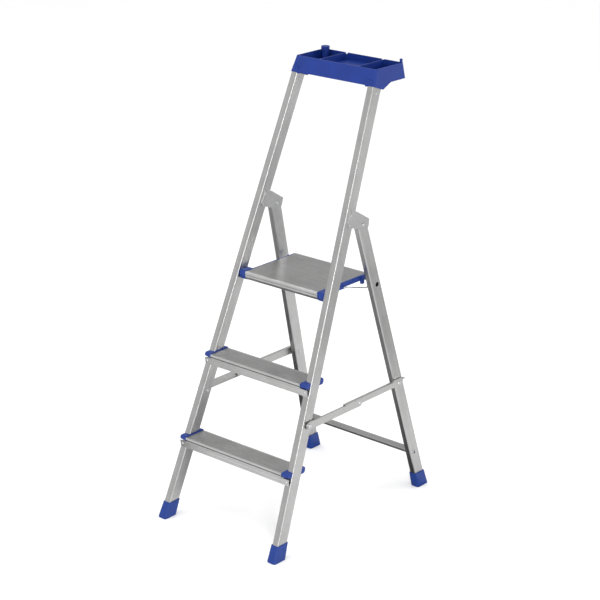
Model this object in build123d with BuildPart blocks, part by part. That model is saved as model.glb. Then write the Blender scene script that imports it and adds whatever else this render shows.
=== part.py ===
from build123d import *
import os
from math import cos, radians, tan

# Folding three-step ladder: two splayed stiles carry two fixed treads, a fold-up platform
# and a plastic tool tray, and a pair of rear legs swings shut behind them.
# Millimetres, +Z up, +Y towards the rear legs, origin on the floor at the middle of the
# footprint. Every sided piece is modelled on the +X side and mirrored.

# ---------------------------------------------------------------- frame lines
STILE_LEAN = 21.95  # degrees from vertical, top leaning back
LEG_LEAN = 15.25  # degrees from vertical, top leaning forward
SPLAY = 0.0594  # sideways lean of both frames per unit of height
HALF_SPAN = 204.93  # middle plane to stile centre, at the floor
STANCE = 629.4  # stile front face to leg front face, at the floor

# rails
STILE_W, STILE_D, STILE_R = 21.0, 35.2, 3.0
LEG_W, LEG_D, LEG_R = 17.6, 37.7, 2.5
WALL = 1.5
STILE_TOP_Z = 1208.0
RAIL_END_Z = 7.0  # the rails stop this far above the floor, inside their feet

# steps
LOWER_Z, MIDDLE_Z, PLATFORM_Z = 230.0, 455.0, 677.0
TREAD_NOSE, TREAD_REAR = 20.4, 50.0  # in front of and behind the stile front face
TREAD_DROP = 33.0  # fascia depth
DECK_T = 2.2
CAP_T = 4.0  # plastic between a tread's end and its stile
PLAT_HALF = 130.0
PLAT_NOSE, PLAT_REAR = 0.5, 212.7
PLAT_DROP = 23.0
PLAT_SIDE_T = 3.5  # plastic beside the deck

# pivots, as (distance behind the stile front face at the floor, height)
HINGE = (420.5, 838.0)
BRACE_A = (160.7, 345.0)
BRACE_M = (371.2, 345.0)
BRACE_B = (554.2, 345.0)
PLAT_PIVOT = (285.8, 662.0)
WIRE_FRONT = (379.2, 664.0)
WIRE_REAR = (473.8, 656.0)
WIRE_LOW = (479.0, 637.0)
PIN_PLAY = 0.05  # radial running clearance of every pin in its hole
HINGE_PIN_R = 4.0
PLAT_PIN_R = 3.5
BRACE_PIN_R = 3.5  # at both ends of a brace
MID_PIN_R = 3.0
WIRE_R = 2.0
WIRE_HOLE_R = 3.0  # loose hole for the wire's end in the leg's inner wall
WIRE_PORT_R = 6.5  # opening in the leg's outer wall
HEAD_TAPER = 35  # degrees, sides of every rivet head

# feet
FOOT_FLARE = 5.0
FOOT_WALL = 2.4
FOOT_H = 45.0

# braces
BRACE_H = 10.5  # half the height of a link's web
FRONT_WEB_X = 202.2  # outer faces of the two webs
REAR_WEB_X = 196.6
WEB_T = 1.8
FRONT_CHANNEL = 5.0  # depth of the front link's edges
FLANGE_X = 204.5  # outer edge of the rear link's top flange

# tray
TRAY_LOW_Z, TRAY_TOP_Z = 1202.0, 1244.0
TRAY_REAR_LOW, TRAY_REAR_TOP = 621.2, 618.2
TRAY_HALF_LOW, TRAY_HALF_TOP = 147.0, 140.5
TRAY_LEAD = 2.5  # tray front wall ahead of the stile front face
TRAY_WALL = 2.6
TRAY_FLOOR_Z = 1216.0  # top of the blocks over the stiles
OUTER_FLOOR_Z, MIDDLE_FLOOR_Z = 1220.0, 1225.0
DIVIDERS = (-58.0, 77.0)
PEG = (-120.0, 599.2)
NOTCH_DEPTH = 4.0

# ---------------------------------------------------------------- derived frame
LEAN = tan(radians(STILE_LEAN))
LEG_TAN = tan(radians(LEG_LEAN))
LEG_FLOOR_D = LEG_D / cos(radians(LEG_LEAN))
STILE_FLOOR_D = STILE_D / cos(radians(STILE_LEAN))
Y_FRONT = -(STANCE + LEG_FLOOR_D) / 2
FACE_NORMAL = Vector(1, 0, SPLAY).normalized()
STILE_DIR = Vector(-SPLAY, LEAN, 1).normalized()
LEG_DIR = Vector(-SPLAY, -LEG_TAN, 1).normalized()
STILE_FOOT = (HALF_SPAN, Y_FRONT + STILE_FLOOR_D / 2, 0)
LEG_FOOT = (HALF_SPAN, Y_FRONT + STANCE + LEG_FLOOR_D / 2, 0)
STILE_AXIS = Plane(origin=STILE_FOOT, x_dir=FACE_NORMAL, z_dir=STILE_DIR)
LEG_AXIS = Plane(origin=LEG_FOOT, x_dir=FACE_NORMAL, z_dir=LEG_DIR)


def front_y(z):
    """Y of the stiles' front face at height z."""
    return Y_FRONT + LEAN * z


def mid_x(z):
    """X of the middle plane shared by the right stile and the right leg."""
    return HALF_SPAN - SPLAY * z


def at(point):
    """(Y, Z) of a pivot given from the stile front face."""
    return (Y_FRONT + point[0], point[1])


def section(z):
    """YZ sketch plane whose origin is on the stile front face at height z."""
    return Plane(origin=(0, front_y(z), z), x_dir=(0, 1, 0), z_dir=(1, 0, 0))


def side_plane(z):
    """Sketch plane in the middle of the right stile: x runs along +Y, y runs up."""
    return Plane(origin=(mid_x(z), Y_FRONT, z), x_dir=(0, 1, 0), z_dir=FACE_NORMAL)


def bore(point, radius, x_from, x_to):
    """Cuts a round hole along X through the part being built."""
    with BuildSketch(Plane(origin=(x_from, *at(point)), z_dir=(1, 0, 0))) as hole:
        Circle(radius)
    extrude(hole.sketch, amount=x_to - x_from, mode=Mode.SUBTRACT)


def disc(point, radius, x_from, x_to, taper=0.0):
    """Adds a round pin or head along X to the part being built."""
    way = 1 if x_to > x_from else -1
    with BuildSketch(Plane(origin=(x_from, *at(point)), z_dir=(way, 0, 0))) as end:
        Circle(radius)
    extrude(end.sketch, amount=abs(x_to - x_from), taper=taper)


def blind_rivet(plane, head, shank, depth):
    """Adds a blind rivet whose head seats on the plane and whose shank goes down it."""
    head_h = head * 0.45
    with BuildSketch(plane) as stem:
        Circle(shank)
    extrude(stem.sketch, amount=-depth)
    with BuildSketch(plane) as dome:
        Circle(head)
    extrude(dome.sketch, amount=head_h, taper=HEAD_TAPER)
    with BuildSketch(plane.offset(head_h)) as dimple:
        Circle(shank * 0.55)
    extrude(dimple.sketch, amount=-head_h, mode=Mode.SUBTRACT)


def save(part, name):
    part.label = name
    export_step(part, f"parts/{name}.step")


def save_pair(part, name):
    """Writes the right-hand piece and its mirror image."""
    save(part, f"right_{name}")
    with BuildPart() as left:
        mirror(part, about=Plane.YZ)
    save(left.part, f"left_{name}")


def rail_core(axis, width, depth, radius, start_z, stop_z):
    """Solid bar with a rail's outer section, for fitting plastic and metal around it."""
    rise = axis.z_dir.Z
    with BuildPart() as core:
        with BuildSketch(axis.offset(start_z / rise)):
            RectangleRounded(width, depth, radius)
        extrude(amount=(stop_z - start_z) / rise)
    return core.part


def tube(axis, width, depth, radius, stop_z):
    """Adds a rounded rectangular tube that starts just above the floor."""
    rise = axis.z_dir.Z
    with BuildSketch(axis.offset(RAIL_END_Z / rise)) as ring:
        RectangleRounded(width, depth, radius)
        RectangleRounded(width - 2 * WALL, depth - 2 * WALL, radius - WALL / 2, mode=Mode.SUBTRACT)
    extrude(ring.sketch, amount=(stop_z - RAIL_END_Z) / rise)


# ---------------------------------------------------------------- rails and feet
FASCIA_RIVET_DROP = 22.5  # below the tread top
BRACKET_RIVETS = ((372.2, 874.5), (361.2, 849.5))
TRAY_RIVET = (495.2, 1181.0)
CROSSBAR_RIVET = (616.0, 113.5)
SHANK = 2.0
CUP_R = 5.0  # hollow outer end of the crossbar rivets


def stile():
    stile_core = rail_core(STILE_AXIS, STILE_W, STILE_D, STILE_R, RAIL_END_Z, STILE_TOP_Z)
    with BuildPart() as body:
        tube(STILE_AXIS, STILE_W, STILE_D, STILE_R, STILE_TOP_Z)
        bore(BRACE_A, BRACE_PIN_R, mid_x(BRACE_A[1]) - STILE_W, FRONT_WEB_X)
        bore(PLAT_PIVOT, PLAT_PIN_R, mid_x(PLAT_PIVOT[1]) - STILE_W, mid_x(PLAT_PIVOT[1]))
        for point in BRACKET_RIVETS + (TRAY_RIVET,):
            bore(point, SHANK, mid_x(point[1]) - STILE_W, mid_x(point[1]) + STILE_W)
        for z in (LOWER_Z, MIDDLE_Z):
            with BuildSketch(rivet_plane(z)):
                Circle(SHANK)
            extrude(amount=-STILE_D / 2 - TREAD_NOSE, mode=Mode.SUBTRACT)
    return body.part, stile_core


def leg():
    leg_core = rail_core(LEG_AXIS, LEG_W, LEG_D, LEG_R, RAIL_END_Z, HINGE[1])
    hub = LEG_D / 2
    with BuildPart() as body:
        tube(LEG_AXIS, LEG_W, LEG_D, LEG_R, HINGE[1] + 2 * hub)
        with BuildSketch(side_plane(HINGE[1])):
            with Locations((HINGE[0], 0)):
                with Locations(Rotation(0, 0, LEG_LEAN)):
                    Rectangle(3 * LEG_D, 3 * LEG_D, align=(Align.CENTER, Align.MIN))
            with Locations((HINGE[0], 0)):
                Circle(hub, mode=Mode.SUBTRACT)
        extrude(amount=LEG_W, both=True, mode=Mode.SUBTRACT)
        bore(HINGE, HINGE_PIN_R + PIN_PLAY, mid_x(HINGE[1]) - LEG_W, mid_x(HINGE[1]) + LEG_W)
        bore(BRACE_B, BRACE_PIN_R, mid_x(BRACE_B[1]) - LEG_W, REAR_WEB_X)
        bore(WIRE_REAR, WIRE_PORT_R, mid_x(WIRE_REAR[1]), mid_x(WIRE_REAR[1]) + LEG_W)
        bore(WIRE_REAR, WIRE_HOLE_R, mid_x(WIRE_REAR[1]) - LEG_W, mid_x(WIRE_REAR[1]))
        bore(CROSSBAR_RIVET, CUP_R, mid_x(CROSSBAR_RIVET[1]), mid_x(CROSSBAR_RIVET[1]) + LEG_W)
        bore(CROSSBAR_RIVET, SHANK, mid_x(CROSSBAR_RIVET[1]) - LEG_W, mid_x(CROSSBAR_RIVET[1]))
    return body.part, leg_core


def foot(start, end, width, floor_depth, core):
    """Boot that flares to the floor around the end of a rail, from its centre at FOOT_H."""
    flare = 2 * FOOT_FLARE
    wall = 2 * FOOT_WALL
    with BuildPart() as boot:
        with BuildSketch(Plane.XY):
            with Locations(start):
                RectangleRounded(width + flare, floor_depth + flare, 8)
        with BuildSketch(Plane.XY.offset(FOOT_H)):
            with Locations(end):
                RectangleRounded(width + wall, floor_depth + wall, 4.5)
        loft()
        fillet(boot.faces().sort_by(Axis.Z)[0].edges(), 3)
        fillet(boot.faces().sort_by(Axis.Z)[-1].edges(), 0.8)
        with BuildSketch(Plane.XY):
            with Locations(start):
                with GridLocations(0, 9, 1, 4):
                    Rectangle(width + 2 * flare, 2.2)
        extrude(amount=1.4, mode=Mode.SUBTRACT)
        add(core, mode=Mode.SUBTRACT)
    return boot.part


# ---------------------------------------------------------------- treads
def rivet_plane(z):
    """Plane on the fascia's face, at the stile centre, where a tread rivet's head seats."""
    drop = FASCIA_RIVET_DROP
    y = front_y(z) - TREAD_NOSE + 2.74
    return Plane(origin=(mid_x(z - drop), y, z - drop), x_dir=(1, 0, 0), z_dir=(0, -1, -0.168))


def tread(z):
    """Extruded step: grooved deck, nose with a shadow line, hanging fascia and a rear lip."""
    half = mid_x(z) - STILE_W / 2 - CAP_T
    wing_top, wing_half = -13.0, mid_x(z - TREAD_DROP) + STILE_W / 2 - 4
    nose, rear, low = -TREAD_NOSE, TREAD_REAR, -TREAD_DROP
    outline = [
        (nose, 0), (rear, 0), (rear, -24), (rear - 8, -24), (rear - 8, -22), (rear - 2, -22),
        (rear - 2, -DECK_T), (nose + 5.6, -DECK_T), (nose + 5.6, -10), (nose + 6.9, low),
        (nose + 4.5, low), (nose + 0.8, -9.6), (nose + 3.6, -9.2), (nose + 3.6, -6.2), (nose, -6),
    ]
    with BuildPart() as step:
        with BuildSketch(section(z)):
            with BuildLine():
                Polyline(*outline, close=True)
            make_face()
            with Locations((14, -DECK_T - 2.5)):
                with GridLocations(26, 0, 2, 1):
                    Rectangle(1.8, 6)
            with Locations((14, 0)):
                with GridLocations(5, 0, 12, 1):
                    Rectangle(1.6, 1.2, mode=Mode.SUBTRACT)
        extrude(amount=half, both=True)
        with BuildSketch(section(z)):
            with BuildLine():
                Polyline(
                    (nose + 1.3, wing_top), (nose + 3.5, wing_top), (nose + 6.9, low),
                    (nose + 4.5, low), close=True,
                )
            make_face()
        extrude(amount=wing_half, both=True)
        for drop in (14.5, 26.5):
            with BuildSketch(section(z)):
                with Locations((nose + 0.8 + (drop - 9.2) * 0.155, -drop)):
                    Rectangle(1.0, 1.6)
            extrude(amount=half, both=True, mode=Mode.SUBTRACT)
        add(rivet_core(z), mode=Mode.SUBTRACT)
    return step.part


def rivet_core(z):
    with BuildPart() as shank:
        with BuildSketch(rivet_plane(z)):
            Circle(SHANK)
        extrude(amount=-STILE_D / 2)
        mirror(about=Plane.YZ)
    return shank.part


def tread_cap(z, step, core):
    """Plastic end of a tread: a strip beside the deck with an ear around each face of the stile."""
    inner = mid_x(z) - STILE_W / 2 - CAP_T
    outer = mid_x(z) + STILE_W / 2 - 1.5
    nose, rear = -TREAD_NOSE + 1.5, TREAD_REAR
    with BuildPart() as cap:
        with BuildSketch(section(z).offset(inner)):
            with Locations((17.5, -12)):
                RectangleRounded(59, 28, 2)
        extrude(amount=CAP_T + 3)
        with BuildSketch(section(z).offset(inner)):
            with BuildLine():
                Polyline(
                    (nose, -2), (nose + 4, 2.2), (8, 2.2), (8, -12.8), (nose + 4, -12.8),
                    (nose, -9), close=True,
                )
            make_face()
            fillet(vertices().group_by(Axis.X)[0], 1.5)
        extrude(amount=outer - inner, taper=3)
        with BuildSketch(section(z).offset(inner)):
            with BuildLine():
                Polyline(
                    (28, 3), (rear, 3), (rear + 2, 0), (rear + 2, -9), (rear - 3, -15.5),
                    (28, -15.5), close=True,
                )
            make_face()
        extrude(amount=outer - inner, taper=3)
        add(core, mode=Mode.SUBTRACT)
        add(step, mode=Mode.SUBTRACT)
        add(rivet_core(z), mode=Mode.SUBTRACT)
    return cap.part


def tread_rivets(z):
    with BuildPart() as rivets:
        blind_rivet(rivet_plane(z), 3.6, SHANK, 12)
        mirror(about=Plane.YZ)
    return rivets.part


# ---------------------------------------------------------------- platform
def platform_deck():
    nose, rear, low = -PLAT_NOSE, PLAT_REAR, -PLAT_DROP
    outline = [
        (nose + 1.5, 0), (rear, 0), (rear, -20), (rear - 9, -20), (rear - 9, -18), (rear - 2, -18),
        (rear - 2, -2.5), (nose + 3.6, -2.5), (nose + 3.6, -17), (nose + 6.8, low),
        (nose + 4.5, low), (nose + 0.4, -16.6), (nose + 1.6, -16.2), (nose + 1.6, -14.4),
        (nose, -14), (nose, -10), (nose + 1.6, -9.6), (nose + 1.6, -7.8), (nose, -7.4),
        (nose, -1.5),
    ]
    with BuildPart() as deck:
        with BuildSketch(section(PLATFORM_Z)):
            with BuildLine():
                Polyline(*outline, close=True)
            make_face()
            with Locations((106, -6)):
                with GridLocations(40, 0, 4, 1):
                    Rectangle(2, 8)
            with Locations((108, 0)):
                with GridLocations(5, 0, 40, 1):
                    Rectangle(1.6, 1.2, mode=Mode.SUBTRACT)
        extrude(amount=PLAT_HALF, both=True)
    return deck.part


def platform_cap(deck):
    """Plastic side of the platform, with its pivot hub, wire boss and rear stop."""
    side = section(PLATFORM_Z)
    hub_x = mid_x(PLATFORM_Z + 12) - STILE_W / 2 - 0.7
    flank_x = PLAT_HALF + PLAT_SIDE_T
    wire_y, wire_z = WIRE_FRONT[0] - LEAN * PLATFORM_Z, WIRE_FRONT[1] - PLATFORM_Z
    with BuildPart() as cap:
        with BuildSketch(side.offset(PLAT_HALF)):
            with BuildLine():
                Polyline(
                    (4, 0), (PLAT_REAR, 0), (PLAT_REAR, -14), (60, -14), (4, -20), close=True,
                )
            make_face()
            fillet(vertices(), 2)
        extrude(amount=PLAT_SIDE_T)
        with BuildSketch(side.offset(PLAT_HALF)):
            with BuildLine():
                Polyline((2, 1), (36, 1), (38, -12), (26, -26), (6, -26), (0.5, -13), close=True)
            make_face()
            fillet(vertices(), 5)
        extrude(amount=hub_x - PLAT_HALF)
        with BuildSketch(side.offset(PLAT_HALF)):
            with Locations((wire_y - 8, wire_z)):
                RectangleRounded(34, 9, 3)
        extrude(amount=PLAT_SIDE_T + 1.5)
        with BuildSketch(side.offset(PLAT_HALF)):
            with Locations((187, -12.5)):
                RectangleRounded(11, 24, 2.5)
        extrude(amount=PLAT_SIDE_T + 3)
        with BuildSketch(side.offset(PLAT_HALF - 12)):
            with Locations((46, -6)):
                with GridLocations(80, 0, 2, 1, align=(Align.MIN, Align.CENTER)):
                    Rectangle(24, 6)
        extrude(amount=12)
        bore(PLAT_PIVOT, PLAT_PIN_R + PIN_PLAY, PLAT_HALF, hub_x)
        bore(WIRE_FRONT, WIRE_R + PIN_PLAY, PLAT_HALF, flank_x + 1.5)
        add(deck, mode=Mode.SUBTRACT)
    return cap.part


def platform_pins():
    inner = mid_x(PLAT_PIVOT[1]) - STILE_W / 2
    with BuildPart() as pins:
        disc(PLAT_PIVOT, PLAT_PIN_R, PLAT_HALF + 6, inner + 4)
        mirror(about=Plane.YZ)
    return pins.part


def wire_link():
    """Bent steel rod from the platform's side to the rear leg."""
    plane_x = PLAT_HALF + PLAT_SIDE_T + 5.6
    reach_x = mid_x(WIRE_REAR[1]) - LEG_W / 2 - 1.6
    corners = [
        (PLAT_HALF + 0.5, *at(WIRE_FRONT)), (plane_x, *at(WIRE_FRONT)), (plane_x, *at(WIRE_LOW)),
        (plane_x, *at(WIRE_REAR)), (reach_x, *at(WIRE_REAR)),
    ]
    with BuildPart() as rod:
        with BuildLine() as route:
            FilletPolyline(*corners, radius=4)
        with BuildSketch(Plane(origin=corners[0], z_dir=(1, 0, 0))):
            Circle(WIRE_R)
        sweep(path=route.line)
    return rod.part


# ---------------------------------------------------------------- hinge
BRACKET_T = 2.2


def hinge_bracket(core):
    """Folded plate: two cheeks over the stile and the leg's top, joined by a web behind."""
    z0 = HINGE[1]
    outline = [(370.7, 884.5), (395, 880), (445.5, 849), (441, 829), (434, 819), (382, 835.5),
               (358.2, 843), (356.8, 853)]
    void = [(331, 903), (393.2, 877.5), (442.5, 848), (471, 823), (471, 783), (331, 803)]
    with BuildPart() as bracket:
        with BuildSketch(side_plane(z0)):
            with BuildLine():
                Polyline(*[(y, z - z0) for y, z in outline], close=True)
            make_face()
            fillet(vertices(), 1.5)
        extrude(amount=STILE_W / 2 + BRACKET_T, both=True)
        with BuildSketch(side_plane(z0)):
            with BuildLine():
                Polyline(*[(y, z - z0) for y, z in void], close=True)
            make_face()
        extrude(amount=STILE_W / 2, both=True, mode=Mode.SUBTRACT)
        add(core, mode=Mode.SUBTRACT)
        bore(HINGE, HINGE_PIN_R, mid_x(z0) - STILE_W, mid_x(z0) + STILE_W)
        for point in BRACKET_RIVETS:
            bore(point, SHANK, mid_x(point[1]) - STILE_W, mid_x(point[1]) + STILE_W)
    return bracket.part


def hinge_pin():
    reach = STILE_W / 2 + BRACKET_T + 0.5
    centre = mid_x(HINGE[1])
    with BuildPart() as pin:
        disc(HINGE, HINGE_PIN_R, centre - reach, centre + reach)
        disc(HINGE, 6.0, centre + reach, centre + reach + 1.6, taper=HEAD_TAPER)
        disc(HINGE, 6.0, centre - reach, centre - reach - 1.6, taper=HEAD_TAPER)
    return pin.part


def hinge_washers():
    """Two thin washers each side that take up the play between the cheeks and the leg."""
    centre = mid_x(HINGE[1])
    with BuildPart() as washers:
        for start in (centre - LEG_W / 2 - 1.25, centre + LEG_W / 2 + 0.45):
            with BuildSketch(Plane.YZ.offset(start)):
                with Locations(at(HINGE)):
                    Circle(7.5)
                    Circle(HINGE_PIN_R, mode=Mode.SUBTRACT)
            extrude(amount=0.8)
        mirror(about=Plane.YZ)
    return washers.part


def through_rivets(points, reach, head):
    """Rivets across a rail, one pair for each point, with a head on both faces."""
    with BuildPart() as rivets:
        for point in points:
            centre = mid_x(point[1])
            disc(point, SHANK, centre - reach, centre + reach)
            disc(point, head, centre + reach, centre + reach + 1.2, taper=HEAD_TAPER)
            disc(point, head, centre - reach, centre - reach - 1.2, taper=HEAD_TAPER)
        mirror(about=Plane.YZ)
    return rivets.part


# ---------------------------------------------------------------- rear crossbar
CROSSBAR_Z = 118.0
CROSSBAR_MID, CROSSBAR_D, CROSSBAR_H = 618.2, 28.0, 7.5


def crossbar(core):
    """Channel between the rear legs, open below, with a tab at each end."""
    half = mid_x(CROSSBAR_Z) - LEG_W / 2 + 3
    plane = Plane(origin=(0, Y_FRONT + CROSSBAR_MID, CROSSBAR_Z), x_dir=(0, 1, 0), z_dir=(1, 0, 0))
    with BuildPart() as bar:
        with BuildSketch(plane):
            with Locations((0, -CROSSBAR_H / 2)):
                RectangleRounded(CROSSBAR_D, CROSSBAR_H, 1.2)
            with Locations((0, -CROSSBAR_H / 2 - 2)):
                Rectangle(CROSSBAR_D - 4, CROSSBAR_H, mode=Mode.SUBTRACT)
            with GridLocations(5, 0, 5, 1):
                Rectangle(1.6, 1.0, mode=Mode.SUBTRACT)
        extrude(amount=half, both=True)
        for side in (-1, 1):
            with BuildSketch(plane.offset(side * (half - 5))):
                with Locations((0, -7.5)):
                    Rectangle(CROSSBAR_D - 4, 13)
            extrude(amount=side * 5)
        add(core, mode=Mode.SUBTRACT)
        mirrored_core = mirror(core, about=Plane.YZ, mode=Mode.PRIVATE)
        add(mirrored_core, mode=Mode.SUBTRACT)
        bore(CROSSBAR_RIVET, SHANK, -half - 5, half + 5)
    return bar.part


def crossbar_rivets():
    """Rivets across the rear legs into the crossbar's tabs, cupped at their outer ends."""
    centre = mid_x(CROSSBAR_RIVET[1])
    inner = centre - LEG_W / 2
    outer = centre + LEG_W / 2 + 0.4
    with BuildPart() as rivets:
        disc(CROSSBAR_RIVET, SHANK, inner - 4, centre)
        disc(CROSSBAR_RIVET, CUP_R, centre, outer)
        disc(CROSSBAR_RIVET, 7.2, outer, outer + 1.2, taper=HEAD_TAPER)
        bore(CROSSBAR_RIVET, CUP_R - 1, centre + 3, outer + 2)
        mirror(about=Plane.YZ)
    return rivets.part


# ---------------------------------------------------------------- braces
def link_slope():
    return (BRACE_B[1] - BRACE_A[1]) / (BRACE_B[0] - BRACE_A[0])


def link_plane(pivot, x):
    """YZ plane at x with its origin on a pivot and its x axis along the braces."""
    return Plane(origin=(x, *at(pivot)), x_dir=(0, 1, link_slope()), z_dir=(1, 0, 0))


def brace_front():
    """Channel link, open towards the stile, rounded about its stile pivot and its mid pivot."""
    length = BRACE_M[0] - BRACE_A[0]
    inner_x = FRONT_WEB_X - FRONT_CHANNEL
    with BuildPart() as link:
        with BuildSketch(link_plane(BRACE_A, inner_x)):
            with Locations((length / 2, 0)):
                SlotCenterToCenter(length, 2 * BRACE_H)
        extrude(amount=FRONT_CHANNEL)
        with BuildSketch(link_plane(BRACE_A, inner_x)):
            with Locations((length / 2, 0)):
                SlotCenterToCenter(length, 2 * BRACE_H - 2 * WEB_T)
        extrude(amount=FRONT_CHANNEL - WEB_T, mode=Mode.SUBTRACT)
        bore(BRACE_A, BRACE_PIN_R + PIN_PLAY, inner_x, FRONT_WEB_X)
        bore(BRACE_M, MID_PIN_R, inner_x, FRONT_WEB_X)
    return link.part


def brace_rear():
    """Angle link inside the front one: its top flange rests on the front link when open."""
    tail, heel = 64.0, 16.0
    low, high = -7.5, 14.0
    length = BRACE_B[0] - BRACE_M[0]
    web_in = REAR_WEB_X - WEB_T
    middle = (length + heel - tail) / 2
    with BuildPart() as link:
        with BuildSketch(link_plane(BRACE_M, web_in)):
            with Locations((middle, (low + high) / 2)):
                Rectangle(length + heel + tail, high - low)
        extrude(amount=WEB_T)
        with BuildSketch(link_plane(BRACE_M, web_in)):
            with Locations((middle, high - WEB_T / 2)):
                Rectangle(length + heel + tail, WEB_T)
        extrude(amount=FLANGE_X - web_in)
        bore(BRACE_M, MID_PIN_R + PIN_PLAY, web_in, REAR_WEB_X)
        bore(BRACE_B, BRACE_PIN_R, web_in, REAR_WEB_X)
    return link.part


def brace_front_rivet(stile_part):
    stile_in = mid_x(BRACE_A[1]) - STILE_W / 2
    with BuildPart() as rivet:
        disc(BRACE_A, BRACE_PIN_R, stile_in - 0.4, FRONT_WEB_X + 0.4)
        disc(BRACE_A, 6.0, stile_in + STILE_W - 1, FRONT_WEB_X - WEB_T - 0.3)
        disc(BRACE_A, 6.0, FRONT_WEB_X + 0.3, FRONT_WEB_X + 2.3, taper=HEAD_TAPER)
        disc(BRACE_A, 5.0, stile_in - 0.4, stile_in - 1.8, taper=HEAD_TAPER)
        add(stile_part, mode=Mode.SUBTRACT)
    return rivet.part


def brace_mid_rivet():
    web_in = REAR_WEB_X - WEB_T
    with BuildPart() as rivet:
        disc(BRACE_M, MID_PIN_R, web_in - 0.3, FRONT_WEB_X)
        disc(BRACE_M, 5.5, web_in - 0.3, web_in - 1.9, taper=HEAD_TAPER)
        disc(BRACE_M, 4.5, FRONT_WEB_X, FRONT_WEB_X + 1.0, taper=HEAD_TAPER)
    return rivet.part


def brace_rear_rivet():
    with BuildPart() as rivet:
        disc(BRACE_B, BRACE_PIN_R, REAR_WEB_X - WEB_T - 0.8, REAR_WEB_X)
        disc(BRACE_B, 6.0, REAR_WEB_X, REAR_WEB_X + 1.8, taper=HEAD_TAPER)
    return rivet.part


def brace_leg_rivets():
    """Pivot stubs across the rear legs, in line with the braces' rear ends."""
    inner = mid_x(BRACE_B[1]) - LEG_W / 2
    with BuildPart() as rivets:
        disc(BRACE_B, BRACE_PIN_R, inner - 0.3, inner + LEG_W + 0.3)
        disc(BRACE_B, 5.0, inner - 0.3, inner - 1.8, taper=HEAD_TAPER)
        mirror(about=Plane.YZ)
    return rivets.part


# ---------------------------------------------------------------- tool tray
def tray_sketch(z, half, rear):
    """Rounded rectangle of the tray's outline at height z."""
    front = front_y(z) - TRAY_LEAD
    back = Y_FRONT + rear
    with BuildSketch(Plane.XY.offset(z)) as outline:
        with Locations((0, (front + back) / 2)):
            RectangleRounded(2 * half, back - front, 6)
    return outline.sketch


def pocket(x_from, x_to, y_from, y_to, z_from):
    """Cuts one tray compartment, open at the top."""
    with BuildSketch(Plane.XY.offset(z_from)) as floor:
        with Locations(((x_from + x_to) / 2, (y_from + y_to) / 2)):
            RectangleRounded(x_to - x_from, y_to - y_from, 4)
    extrude(floor.sketch, amount=TRAY_TOP_Z - z_from + 1, mode=Mode.SUBTRACT)


def tray_side():
    """Fixing on the right of the tray: cheek block over the stile, front lug and rear tongue."""
    flank_x = TRAY_HALF_LOW - 27
    with BuildPart() as side:
        with BuildSketch(section(TRAY_LOW_Z).offset(flank_x)):
            with BuildLine():
                Polyline((-2.5, 0.4), (-1.0, -1.5), (38.5, -15.6), (73, 0.4), close=True)
            make_face()
        extrude(amount=TRAY_HALF_LOW - flank_x, taper=1)
        with BuildSketch(section(TRAY_LOW_Z).offset(flank_x)):
            Rectangle(70, TRAY_FLOOR_Z - TRAY_LOW_Z, align=(Align.MIN, Align.MIN))
        extrude(amount=TRAY_HALF_TOP - flank_x)
        with BuildSketch(section(TRAY_LOW_Z).offset(flank_x + 11)):
            with BuildLine():
                Polyline((36, -5), (42, -5), (32.5, -27), (27, -27), close=True)
            make_face()
        extrude(amount=9)
        with BuildSketch(section(TRAY_LOW_Z).offset(flank_x - 4)):
            with Locations((2, -1)):
                Rectangle(7, 5)
        extrude(amount=7)
    return side.part


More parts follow.
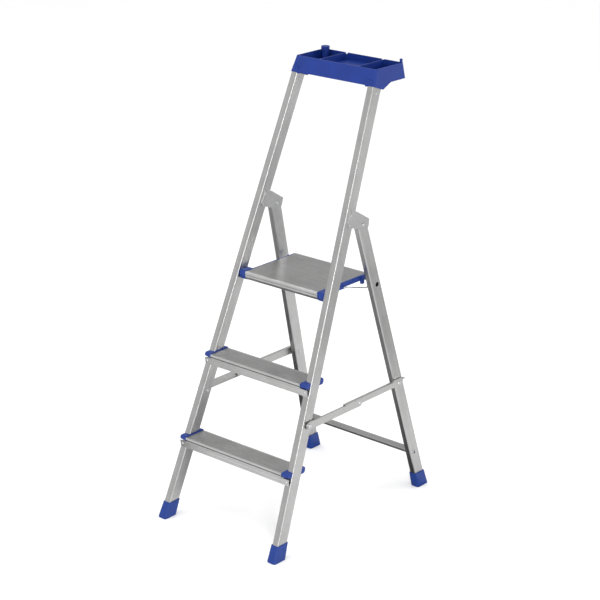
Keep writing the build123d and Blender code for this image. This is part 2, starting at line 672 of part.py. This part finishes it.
def tool_tray(core):
    """One plastic moulding: three open compartments, a peg, a horn and a socket for each stile."""
    front_in = front_y(TRAY_TOP_Z) - TRAY_LEAD + TRAY_WALL
    rear_in = Y_FRONT + TRAY_REAR_TOP - TRAY_WALL
    half_in = TRAY_HALF_TOP - TRAY_WALL
    peg_y = Y_FRONT + PEG[1]
    with BuildPart() as tray:
        low = tray_sketch(TRAY_LOW_Z, TRAY_HALF_LOW, TRAY_REAR_LOW)
        high = tray_sketch(TRAY_TOP_Z, TRAY_HALF_TOP, TRAY_REAR_TOP)
        loft([low, high])
        fillet(tray.faces().sort_by(Axis.Z)[-1].edges(), 1.2)
        pocket(-half_in, DIVIDERS[0] - 1.3, front_in, rear_in, OUTER_FLOOR_Z)
        pocket(DIVIDERS[0] + 1.3, DIVIDERS[1] - 1.3, front_in, rear_in, MIDDLE_FLOOR_Z)
        pocket(DIVIDERS[1] + 1.3, half_in, front_in, rear_in, OUTER_FLOOR_Z)
        with BuildSketch(Plane.XY.offset(TRAY_LOW_Z)):
            with Locations((0, Y_FRONT + 556)):
                Rectangle(232, 120)
            with Locations((0, Y_FRONT + 588)):
                Rectangle(282, 56)
        extrude(amount=OUTER_FLOOR_Z - TRAY_WALL - TRAY_LOW_Z, mode=Mode.SUBTRACT)
        with BuildSketch(Plane.XY.offset(TRAY_TOP_Z - NOTCH_DEPTH)):
            with Locations((DIVIDERS[0], Y_FRONT + TRAY_REAR_TOP)):
                Rectangle(9, 12)
            with Locations((DIVIDERS[1] - 6, Y_FRONT + TRAY_REAR_TOP)):
                Rectangle(9, 12)
        extrude(amount=2 * NOTCH_DEPTH, mode=Mode.SUBTRACT)
        side = tray_side()
        add(side)
        add(mirror(side, about=Plane.YZ, mode=Mode.PRIVATE))
        add(core, mode=Mode.SUBTRACT)
        add(mirror(core, about=Plane.YZ, mode=Mode.PRIVATE), mode=Mode.SUBTRACT)
        with BuildSketch(Plane.XY.offset(OUTER_FLOOR_Z - 1)):
            with Locations((PEG[0], peg_y)):
                Circle(9)
        extrude(amount=TRAY_TOP_Z + 7 - OUTER_FLOOR_Z)
        with BuildSketch(Plane.XY.offset(TRAY_TOP_Z + 4)):
            with Locations((PEG[0], peg_y)):
                Circle(12)
        extrude(amount=8.5)
        fillet(tray.faces().sort_by(Axis.Z)[-1].edges(), 1)
        with BuildSketch(Plane.XY.offset(TRAY_TOP_Z - 2)):
            with Locations((134.5, Y_FRONT + TRAY_REAR_TOP - 4)):
                RectangleRounded(7, 6, 1.5)
        extrude(amount=12)
        for side_x in (-1, 1):
            bore_x = side_x * mid_x(TRAY_RIVET[1])
            bore(TRAY_RIVET, SHANK, bore_x - STILE_W, bore_x + STILE_W)
    return tray.part


def main():
    os.makedirs("parts", exist_ok=True)
    stile_part, stile_core = stile()
    leg_part, leg_core = leg()
    save_pair(stile_part, "stile")
    save_pair(leg_part, "rear_leg")
    stile_end = (mid_x(FOOT_H), STILE_FOOT[1] + LEAN * FOOT_H)
    leg_end = (mid_x(FOOT_H), LEG_FOOT[1] - LEG_TAN * FOOT_H)
    front_boot = foot(STILE_FOOT[:2], stile_end, STILE_W, STILE_FLOOR_D, stile_core)
    rear_boot = foot(LEG_FOOT[:2], leg_end, LEG_W + 2, LEG_FLOOR_D, leg_core)
    save_pair(front_boot, "front_foot")
    save_pair(rear_boot, "rear_foot")
    for name, z in (("lower", LOWER_Z), ("middle", MIDDLE_Z)):
        step = tread(z)
        save(step, f"{name}_tread")
        save_pair(tread_cap(z, step, stile_core), f"{name}_tread_cap")
        save(tread_rivets(z), f"{name}_tread_rivets")
    deck = platform_deck()
    save(deck, "platform_deck")
    save_pair(platform_cap(deck), "platform_cap")
    save(platform_pins(), "platform_pins")
    save_pair(wire_link(), "wire_link")
    save_pair(hinge_bracket(stile_core), "hinge_bracket")
    save_pair(hinge_pin(), "hinge_pin")
    save(hinge_washers(), "hinge_washers")
    save(through_rivets(BRACKET_RIVETS, STILE_W / 2 + BRACKET_T + 0.3, 3.6), "bracket_rivets")
    save(through_rivets((TRAY_RIVET,), STILE_W / 2 + 0.3, 3.4), "tray_rivets")
    save(crossbar(leg_core), "rear_crossbar")
    save(crossbar_rivets(), "crossbar_rivets")
    save_pair(brace_front(), "brace_front")
    save_pair(brace_rear(), "brace_rear")
    save_pair(brace_front_rivet(stile_part), "brace_front_rivet")
    save_pair(brace_mid_rivet(), "brace_mid_rivet")
    save_pair(brace_rear_rivet(), "brace_rear_rivet")
    save(brace_leg_rivets(), "brace_leg_rivets")
    save(tool_tray(stile_core), "tool_tray")


main()
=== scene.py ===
import math

import bpy
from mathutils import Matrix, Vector

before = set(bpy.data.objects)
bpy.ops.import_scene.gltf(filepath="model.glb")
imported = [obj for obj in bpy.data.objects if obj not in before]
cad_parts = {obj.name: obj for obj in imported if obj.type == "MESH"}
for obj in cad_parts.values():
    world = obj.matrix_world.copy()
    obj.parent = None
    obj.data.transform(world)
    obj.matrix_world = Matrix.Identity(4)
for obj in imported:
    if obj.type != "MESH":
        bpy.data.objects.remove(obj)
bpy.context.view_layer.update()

# Folding step stool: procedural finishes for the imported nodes, studio floor, lights, camera.
# Metres, +Z up, +Y towards the rear legs.

STILE_LEAN = math.radians(21.95)  # stiles lean back
LEG_LEAN = math.radians(-15.25)  # rear legs lean forward
SPLAY = 0.0594  # both frames close in sideways towards the top
MM = 0.001

# finishes
HAIRLINE = 0.9 * MM  # width of the drawn grain
GRAIN_LENGTH = 260 * MM
STREAK = 6  # broad streaks, as a multiple of the grain
CLOUD = 60 * MM
SPANGLE = 3.5 * MM
SPECK = 0.5 * MM
PLASTIC_CLOUD = 45 * MM
SCUFF = 9 * MM
BUMP_DEPTH = 0.02 * MM


# ---------------------------------------------------------------- node helpers
class Graph:
    """A material's node tree with short calls for adding and joining nodes."""

    def __init__(self, name):
        self.material = bpy.data.materials.new(name)
        self.material.use_nodes = True
        self.nodes = self.material.node_tree.nodes
        self.links = self.material.node_tree.links
        self.nodes.clear()
        self.shader = self.nodes.new("ShaderNodeBsdfPrincipled")
        output = self.nodes.new("ShaderNodeOutputMaterial")
        self.join(self.shader, "BSDF", output, "Surface")

    def join(self, source, out, target, into):
        self.links.new(source.outputs[out], target.inputs[into])

    def add(self, kind, **settings):
        node = self.nodes.new(kind)
        for key, value in settings.items():
            setattr(node, key, value)
        return node

    def place(self, lean=0.0, cell=(1.0, 1.0, 1.0), splay=0.0):
        """Object coordinates in metres, turned to follow a rail and divided by a cell's size."""
        where = self.add("ShaderNodeTexCoord")
        mapping = self.add("ShaderNodeMapping", vector_type="TEXTURE")
        mapping.inputs["Rotation"].default_value = (-lean, -splay, 0.0)
        mapping.inputs["Scale"].default_value = cell
        self.join(where, "Object", mapping, "Vector")
        return mapping

    def noise(self, mapping, detail=3.0, rough=0.55):
        noise = self.add("ShaderNodeTexNoise")
        noise.inputs["Scale"].default_value = 1.0
        noise.inputs["Detail"].default_value = detail
        noise.inputs["Roughness"].default_value = rough
        self.join(mapping, "Vector", noise, "Vector")
        return noise

    def ramp(self, source, out, low, high, start=0.0, stop=1.0):
        """Maps a value to a range of colours or greys between two stops."""
        ramp = self.add("ShaderNodeValToRGB")
        first, last = ramp.color_ramp.elements
        first.position, last.position = start, stop
        first.color, last.color = shade(low), shade(high)
        self.join(source, out, ramp, "Fac")
        return ramp

    def bump(self, source, out, height, strength):
        bump = self.add("ShaderNodeBump")
        bump.inputs["Distance"].default_value = height
        bump.inputs["Strength"].default_value = strength
        self.join(source, out, bump, "Height")
        return bump


def shade(value):
    if isinstance(value, (int, float)):
        return (value, value, value, 1.0)
    return (*value, 1.0)


# ---------------------------------------------------------------- materials
def aluminium(name, tint, lean=0.0, splay=0.0, across=False, rough=(0.26, 0.38)):
    """Drawn aluminium: hairline grain along the rail, slow cloudiness and faint handling marks."""
    graph = Graph(name)
    line = (HAIRLINE, HAIRLINE, GRAIN_LENGTH)
    if across:
        line = (GRAIN_LENGTH, HAIRLINE, HAIRLINE)
    hairline = graph.noise(graph.place(lean, line, splay), detail=2.0)
    streak = tuple(STREAK * size for size in line)
    wide = graph.noise(graph.place(lean, streak, splay), detail=2.0)
    cloud = graph.noise(graph.place(0.0, (CLOUD,) * 3), detail=4.0)
    low = tuple(0.91 * part for part in tint)
    colour = graph.ramp(wide, "Fac", low, tint, 0.3, 0.7)
    veil = graph.ramp(cloud, "Fac", 0.90, 1.0, 0.35, 0.6)
    mix = graph.add("ShaderNodeMix", data_type="RGBA", blend_type="MULTIPLY")
    mix.inputs["Factor"].default_value = 1.0
    graph.join(colour, "Color", mix, "A")
    graph.join(veil, "Color", mix, "B")
    graph.join(mix, "Result", graph.shader, "Base Color")
    gloss = graph.ramp(hairline, "Fac", rough[0], rough[1], 0.3, 0.7)
    graph.join(gloss, "Color", graph.shader, "Roughness")
    bump = graph.bump(hairline, "Fac", BUMP_DEPTH / 2, 0.25)
    graph.join(bump, "Normal", graph.shader, "Normal")
    graph.shader.inputs["Metallic"].default_value = 1.0
    return graph.material


def zinc(name, tint, rough=0.34):
    """Plated steel: fine mottled spangle with a soft sheen."""
    graph = Graph(name)
    spangle = graph.noise(graph.place(0.0, (SPANGLE,) * 3), detail=4.0)
    speck = graph.noise(graph.place(0.0, (SPECK,) * 3), detail=2.0)
    low = tuple(0.8 * part for part in tint)
    colour = graph.ramp(spangle, "Fac", low, tint, 0.3, 0.65)
    graph.join(colour, "Color", graph.shader, "Base Color")
    gloss = graph.ramp(spangle, "Fac", rough - 0.06, rough + 0.12, 0.3, 0.7)
    graph.join(gloss, "Color", graph.shader, "Roughness")
    bump = graph.bump(speck, "Fac", BUMP_DEPTH, 0.5)
    graph.join(bump, "Normal", graph.shader, "Normal")
    graph.shader.inputs["Metallic"].default_value = 1.0
    return graph.material


def plastic(name, tint, rough=0.42, grain=0.7, depth=0.05):
    """Moulded polypropylene: leathery grain, slight clouding of the colour, scuffed sheen."""
    graph = Graph(name)
    pits = graph.noise(graph.place(0.0, (grain * MM,) * 3), detail=3.0)
    cloud = graph.noise(graph.place(0.0, (PLASTIC_CLOUD,) * 3), detail=3.0)
    scuff = graph.noise(graph.place(0.0, (SCUFF,) * 3), detail=5.0, rough=0.7)
    low = tuple(0.88 * part for part in tint)
    colour = graph.ramp(cloud, "Fac", low, tint, 0.35, 0.65)
    graph.join(colour, "Color", graph.shader, "Base Color")
    gloss = graph.ramp(scuff, "Fac", rough - 0.06, rough + 0.1, 0.35, 0.7)
    graph.join(gloss, "Color", graph.shader, "Roughness")
    bump = graph.bump(pits, "Fac", depth * MM, 0.6)
    graph.join(bump, "Normal", graph.shader, "Normal")
    graph.shader.inputs["Specular IOR Level"].default_value = 0.25
    return graph.material


def paint(material, *names):
    """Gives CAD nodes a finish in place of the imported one."""
    for name in names:
        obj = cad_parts[name]
        for index in range(len(obj.material_slots)):
            obj.material_slots[index].material = material


def both(*names):
    return [f"{side}_{name}" for side in ("left", "right") for name in names]


ALUMINIUM = (0.46, 0.458, 0.456)
for side, splay in (("left", -SPLAY), ("right", SPLAY)):
    paint(aluminium(f"{side}_stile_aluminium", ALUMINIUM, STILE_LEAN, splay), f"{side}_stile")
    paint(aluminium(f"{side}_leg_aluminium", ALUMINIUM, LEG_LEAN, splay), f"{side}_rear_leg")
paint(aluminium("tread_aluminium", ALUMINIUM, across=True), "lower_tread", "middle_tread")
paint(aluminium("deck_aluminium", ALUMINIUM, across=True), "platform_deck", "rear_crossbar")
paint(zinc("bracket_zinc", (0.46, 0.46, 0.46)), *both("hinge_bracket"))
paint(zinc("brace_zinc", (0.47, 0.47, 0.465)), *both("brace_front", "brace_rear"))
paint(zinc("wire_zinc", (0.58, 0.59, 0.61), 0.28), *both("wire_link"))
paint(
    zinc("rivet_steel", (0.55, 0.56, 0.58), 0.3),
    "lower_tread_rivets", "middle_tread_rivets", "tray_rivets", "bracket_rivets", "crossbar_rivets",
    "platform_pins", "brace_leg_rivets",
    *both("hinge_pin", "brace_front_rivet", "brace_mid_rivet", "brace_rear_rivet"),
)
paint(plastic("washer_nylon", (0.62, 0.62, 0.60), 0.35, 0.3, 0.02), "hinge_washers")
paint(plastic("foot_blue", (0.013, 0.043, 0.228)), *both("front_foot", "rear_foot"))
paint(
    plastic("cap_blue", (0.012, 0.040, 0.228)),
    *both("lower_tread_cap", "middle_tread_cap", "platform_cap"),
)
paint(plastic("tray_blue", (0.008, 0.031, 0.21)), "tool_tray")


# ---------------------------------------------------------------- studio
FLOOR_SIZE = 40.0
FLOOR_GLOW = 0.13  # lifts the floor towards white
# painted shade: sheets seen only in reflections stand in for the shaded floor under the ladder
PAINTED_SHADE_HEIGHT = 0.5 * MM
PAINTED_SHADE_BLACK = 0.08


def floor():
    """Pale seamless floor."""
    mesh = bpy.data.meshes.new("floor")
    half = FLOOR_SIZE / 2
    mesh.from_pydata(
        [(-half, -half, 0), (half, -half, 0), (half, half, 0), (-half, half, 0)], [], [(0, 1, 2, 3)]
    )
    obj = bpy.data.objects.new("floor", mesh)
    bpy.context.scene.collection.objects.link(obj)
    graph = Graph("floor_white")
    tone = graph.noise(graph.place(0.0, (0.5,) * 3), detail=2.0)
    colour = graph.ramp(tone, "Fac", 0.90, 0.92)
    graph.join(colour, "Color", graph.shader, "Base Color")
    graph.shader.inputs["Roughness"].default_value = 0.8
    graph.shader.inputs["Specular IOR Level"].default_value = 0.2
    graph.shader.inputs["Emission Color"].default_value = shade(1.0)
    graph.shader.inputs["Emission Strength"].default_value = FLOOR_GLOW
    mesh.materials.append(graph.material)


def area(name, place, target, size, power):
    """Soft box aimed at a point."""
    data = bpy.data.lights.new(name, "AREA")
    data.shape = "RECTANGLE"
    data.size, data.size_y = size
    data.energy = power
    lamp = bpy.data.objects.new(name, data)
    lamp.location = place
    aim = Vector(target) - Vector(place)
    lamp.rotation_euler = aim.to_track_quat("-Z", "Y").to_euler()
    bpy.context.scene.collection.objects.link(lamp)


def sky(front, back, top):
    """Studio surround: bright behind the camera, dimmer behind the object, white to the lens."""
    world = bpy.data.worlds.new("studio")
    world.use_nodes = True
    nodes, links = world.node_tree.nodes, world.node_tree.links
    nodes.clear()
    where = nodes.new("ShaderNodeTexCoord")
    split = nodes.new("ShaderNodeSeparateXYZ")
    links.new(where.outputs["Generated"], split.inputs["Vector"])
    along = nodes.new("ShaderNodeMapRange")
    along.inputs["From Min"].default_value = -1.0
    along.inputs["To Min"].default_value = front
    along.inputs["To Max"].default_value = back
    links.new(split.outputs["Y"], along.inputs["Value"])
    height = nodes.new("ShaderNodeMapRange")
    height.inputs["From Min"].default_value = 0.45
    height.inputs["To Max"].default_value = top
    height.inputs["To Min"].default_value = 0.0
    links.new(split.outputs["Z"], height.inputs["Value"])
    total = nodes.new("ShaderNodeMath")
    links.new(along.outputs["Result"], total.inputs[0])
    links.new(height.outputs["Result"], total.inputs[1])
    room = nodes.new("ShaderNodeBackground")
    links.new(total.outputs["Value"], room.inputs["Strength"])
    backdrop = nodes.new("ShaderNodeBackground")
    backdrop.inputs["Strength"].default_value = 1.0
    backdrop.inputs["Color"].default_value = shade(1.0)
    seen = nodes.new("ShaderNodeLightPath")
    mix = nodes.new("ShaderNodeMixShader")
    links.new(seen.outputs["Is Camera Ray"], mix.inputs["Fac"])
    links.new(room.outputs["Background"], mix.inputs[1])
    links.new(backdrop.outputs["Background"], mix.inputs[2])
    output = nodes.new("ShaderNodeOutputWorld")
    links.new(mix.outputs["Shader"], output.inputs["Surface"])
    bpy.context.scene.world = world


def painted_shade_sheet(name, corners, tone):
    """Painted shade: a dark sheet lying on the floor, met only by reflections, that darkens the
    reflections of what faces it.
    """
    mesh = bpy.data.meshes.new(name)
    mesh.from_pydata([(x, y, PAINTED_SHADE_HEIGHT) for x, y in corners], [], [(0, 1, 2, 3)])
    obj = bpy.data.objects.new(name, mesh)
    bpy.context.scene.collection.objects.link(obj)
    graph = Graph(name)
    graph.shader.inputs["Base Color"].default_value = shade(tone)
    graph.shader.inputs["Roughness"].default_value = 0.9
    graph.shader.inputs["Specular IOR Level"].default_value = 0.0
    mesh.materials.append(graph.material)
    obj.visible_camera = False
    obj.visible_diffuse = False
    obj.visible_shadow = False
    obj.visible_transmission = False


CAMERA_TURN = 0.71442  # radians to the right of straight in front
CAMERA_DROP = 0.34701  # radians below level
CAMERA_PLACE = (3.11115, -3.56842, 2.31932)
CAMERA_LENS = 109.796

camera_data = bpy.data.cameras.new("camera")
camera_data.lens = CAMERA_LENS
camera_data.sensor_width = 36.0
camera = bpy.data.objects.new("camera", camera_data)
camera.location = CAMERA_PLACE
camera.rotation_euler = (math.pi / 2 - CAMERA_DROP, 0.0, CAMERA_TURN)
bpy.context.scene.collection.objects.link(camera)
bpy.context.scene.camera = camera

floor()
sky(1.12, 0.88, 0.35)
# painted shade: dark sheets seen only in reflections, under and to the front left of the ladder,
# darken the rear legs' front faces and the crossbar lip as shaded floor would
painted_shade_sheet("leg_painted_shade", [(-1.5, -0.46), (-0.42, -0.46), (0.40, 0.34), (-0.32, 0.34)], PAINTED_SHADE_BLACK)
painted_shade_sheet(
    "high_leg_painted_shade", [(-1.6, -0.75), (-0.92, -0.75), (-0.62, -0.46), (-1.5, -0.46)], PAINTED_SHADE_BLACK
)
# painted reflection: a grey sheet seen only in reflections darkens the far floor where the stiles'
# side faces reflect it
painted_shade_sheet("far_painted_shade", [(0.75, 1.1), (2.4, 1.1), (2.4, 2.8), (0.75, 2.8)], 0.42)
area("key", (-1.0, -1.2, 4.2), (0, 0, 0.4), (2.4, 2.4), 45)
area("edge", (4.0, -3.6, 2.1), (0, 0, 0.6), (1.2, 2.8), 120)
area("low_fill", (3.1, 3.7, 2.4), (0, 0, 0.5), (1.2, 1.2), 40)
bpy.context.scene.view_settings.view_transform = "Standard"
